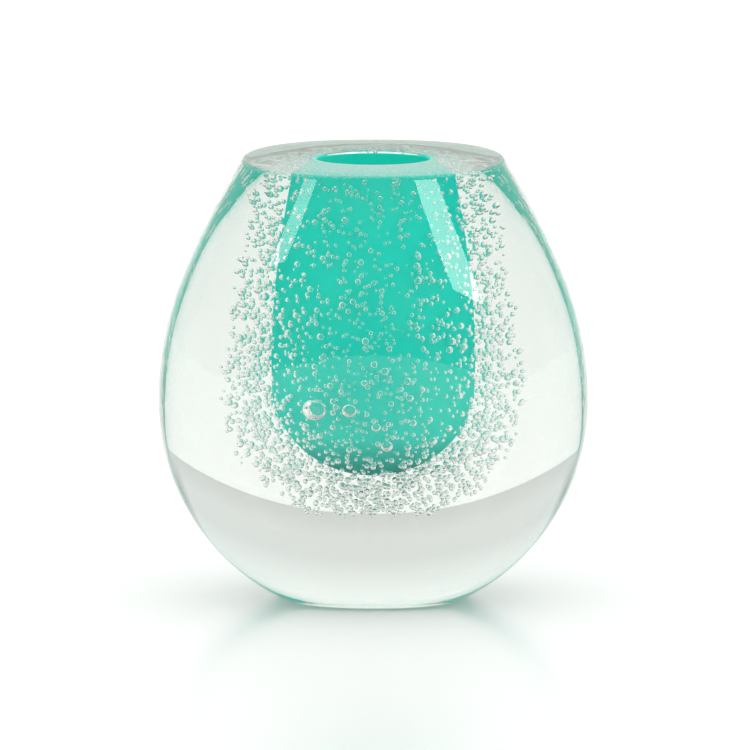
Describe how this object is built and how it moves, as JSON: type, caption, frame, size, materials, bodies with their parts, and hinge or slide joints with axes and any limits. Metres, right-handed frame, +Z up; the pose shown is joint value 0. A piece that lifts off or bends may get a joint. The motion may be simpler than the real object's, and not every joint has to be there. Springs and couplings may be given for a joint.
{
  "type": "art glass vase",
  "caption": "Hand blown vase of thick clear glass, flattened from front to back, with seed bubbles round a narrow aqua glass cavity, cut flat at the rim and resting on a small flat foot.",
  "frame": {"origin": "middle of the flat foot, on the surface that the vase stands on", "axes": "+Z up through the middle of the mouth; X along the wide way and Y from front to back, with the front at -Y; the vase is the same after half a turn about Z"},
  "size_m": [0.1444, 0.0936, 0.15],
  "materials": {
    "clear_glass": "clear, polished, very slightly green",
    "seeded_glass": "clear, full of fine air bubbles",
    "aqua_glass": "aqua green colour layer, glossy on the cavity side"
  },
  "bodies": {
    "root": {"clear_casing": "clear_glass", "bubble_gather": "seeded_glass", "aqua_lining": "aqua_glass"}
  },
  "joints": []
}
